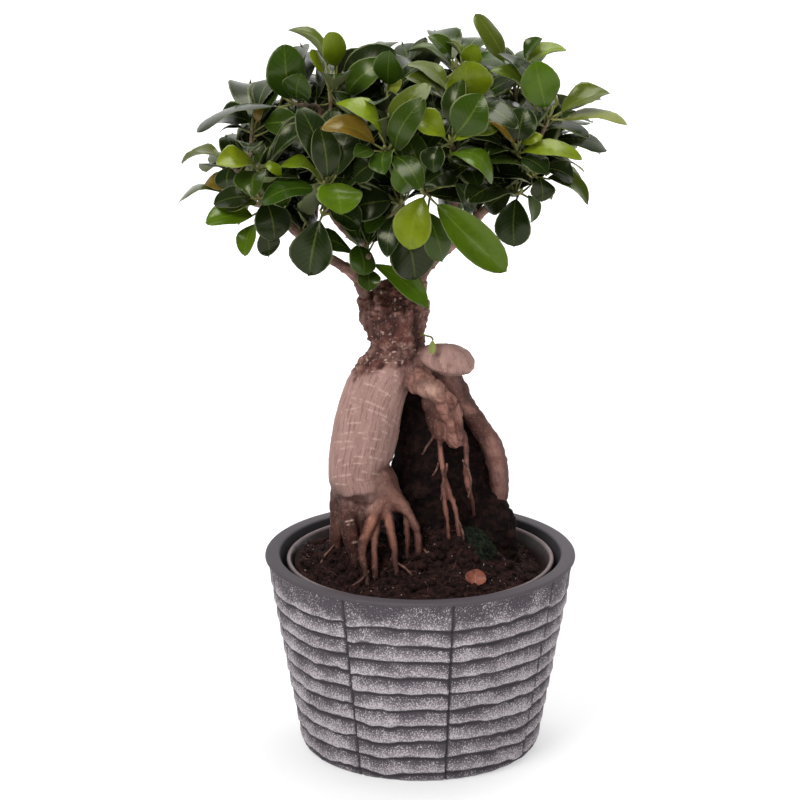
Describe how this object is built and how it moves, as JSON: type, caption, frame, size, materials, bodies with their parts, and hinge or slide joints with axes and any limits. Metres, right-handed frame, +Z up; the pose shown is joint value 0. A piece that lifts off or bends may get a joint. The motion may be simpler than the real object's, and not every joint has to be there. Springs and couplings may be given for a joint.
{
  "type": "potted bonsai tree",
  "caption": "Small bonsai fig with a swollen root trunk on exposed roots and a dense leafy crown, in a thin nursery pot set inside a ribbed grey planter.",
  "frame": {"origin": "middle of the planter's flat base", "axes": "+Z up the plant, -Y the front that shows the fat root on the left, +X to the right"},
  "size_m": [0.227, 0.1664, 0.3902],
  "materials": {
    "planter_cement": "rough cast, dark grey with a pale worn wash on the ribs",
    "nursery_plastic": "thin matt brown-grey plastic",
    "soil": "dark moist peat with fibres",
    "root_bark": "smooth pinkish-brown bark with pale cross dashes",
    "branch_bark": "fine brown bark",
    "leaf": "leathery, glossy dark green with a paler margin and midrib",
    "moss": "dark green moss",
    "dry_leaf": "dry orange-brown leaf",
    "young_leaf": "pale young green"
  },
  "bodies": {
    "root": {"outer_pot": "planter_cement", "nursery_pot": "nursery_plastic", "potting_soil": "soil", "rootstock": "root_bark", "branch_left": "branch_bark", "branch_right": "branch_bark", "branch_inner": "branch_bark", "branch_inner_left": "branch_bark", "branch_inner_right": "branch_bark", "branch_back_left": "branch_bark", "branch_back_right": "branch_bark", "leafy_shoot_01": "leaf", "leafy_shoot_02": "leaf", "leafy_shoot_03": "leaf", "leafy_shoot_04": "leaf", "leafy_shoot_05": "leaf", "leafy_shoot_06": "leaf", "leafy_shoot_07": "leaf", "leafy_shoot_08": "leaf", "leafy_shoot_09": "leaf", "leafy_shoot_10": "leaf", "leafy_shoot_11": "leaf", "leafy_shoot_12": "leaf", "leafy_shoot_13": "leaf", "leafy_shoot_14": "leaf", "leafy_shoot_15": "leaf", "leafy_shoot_16": "leaf", "leafy_shoot_17": "leaf", "leafy_shoot_18": "leaf", "leafy_shoot_19": "leaf", "leafy_shoot_20": "leaf", "leafy_shoot_21": "leaf", "leafy_shoot_22": "leaf", "leafy_shoot_23": "leaf", "leafy_shoot_24": "leaf", "leafy_shoot_25": "leaf", "leafy_shoot_26": "leaf", "leafy_shoot_27": "leaf", "leafy_shoot_28": "leaf", "leafy_shoot_29": "leaf", "leafy_shoot_30": "leaf", "leafy_shoot_31": "leaf", "leafy_shoot_32": "leaf", "leafy_shoot_33": "leaf", "moss_patch": "moss", "fallen_leaf": "dry_leaf", "rootstock_sprout": "young_leaf"}
  },
  "joints": []
}
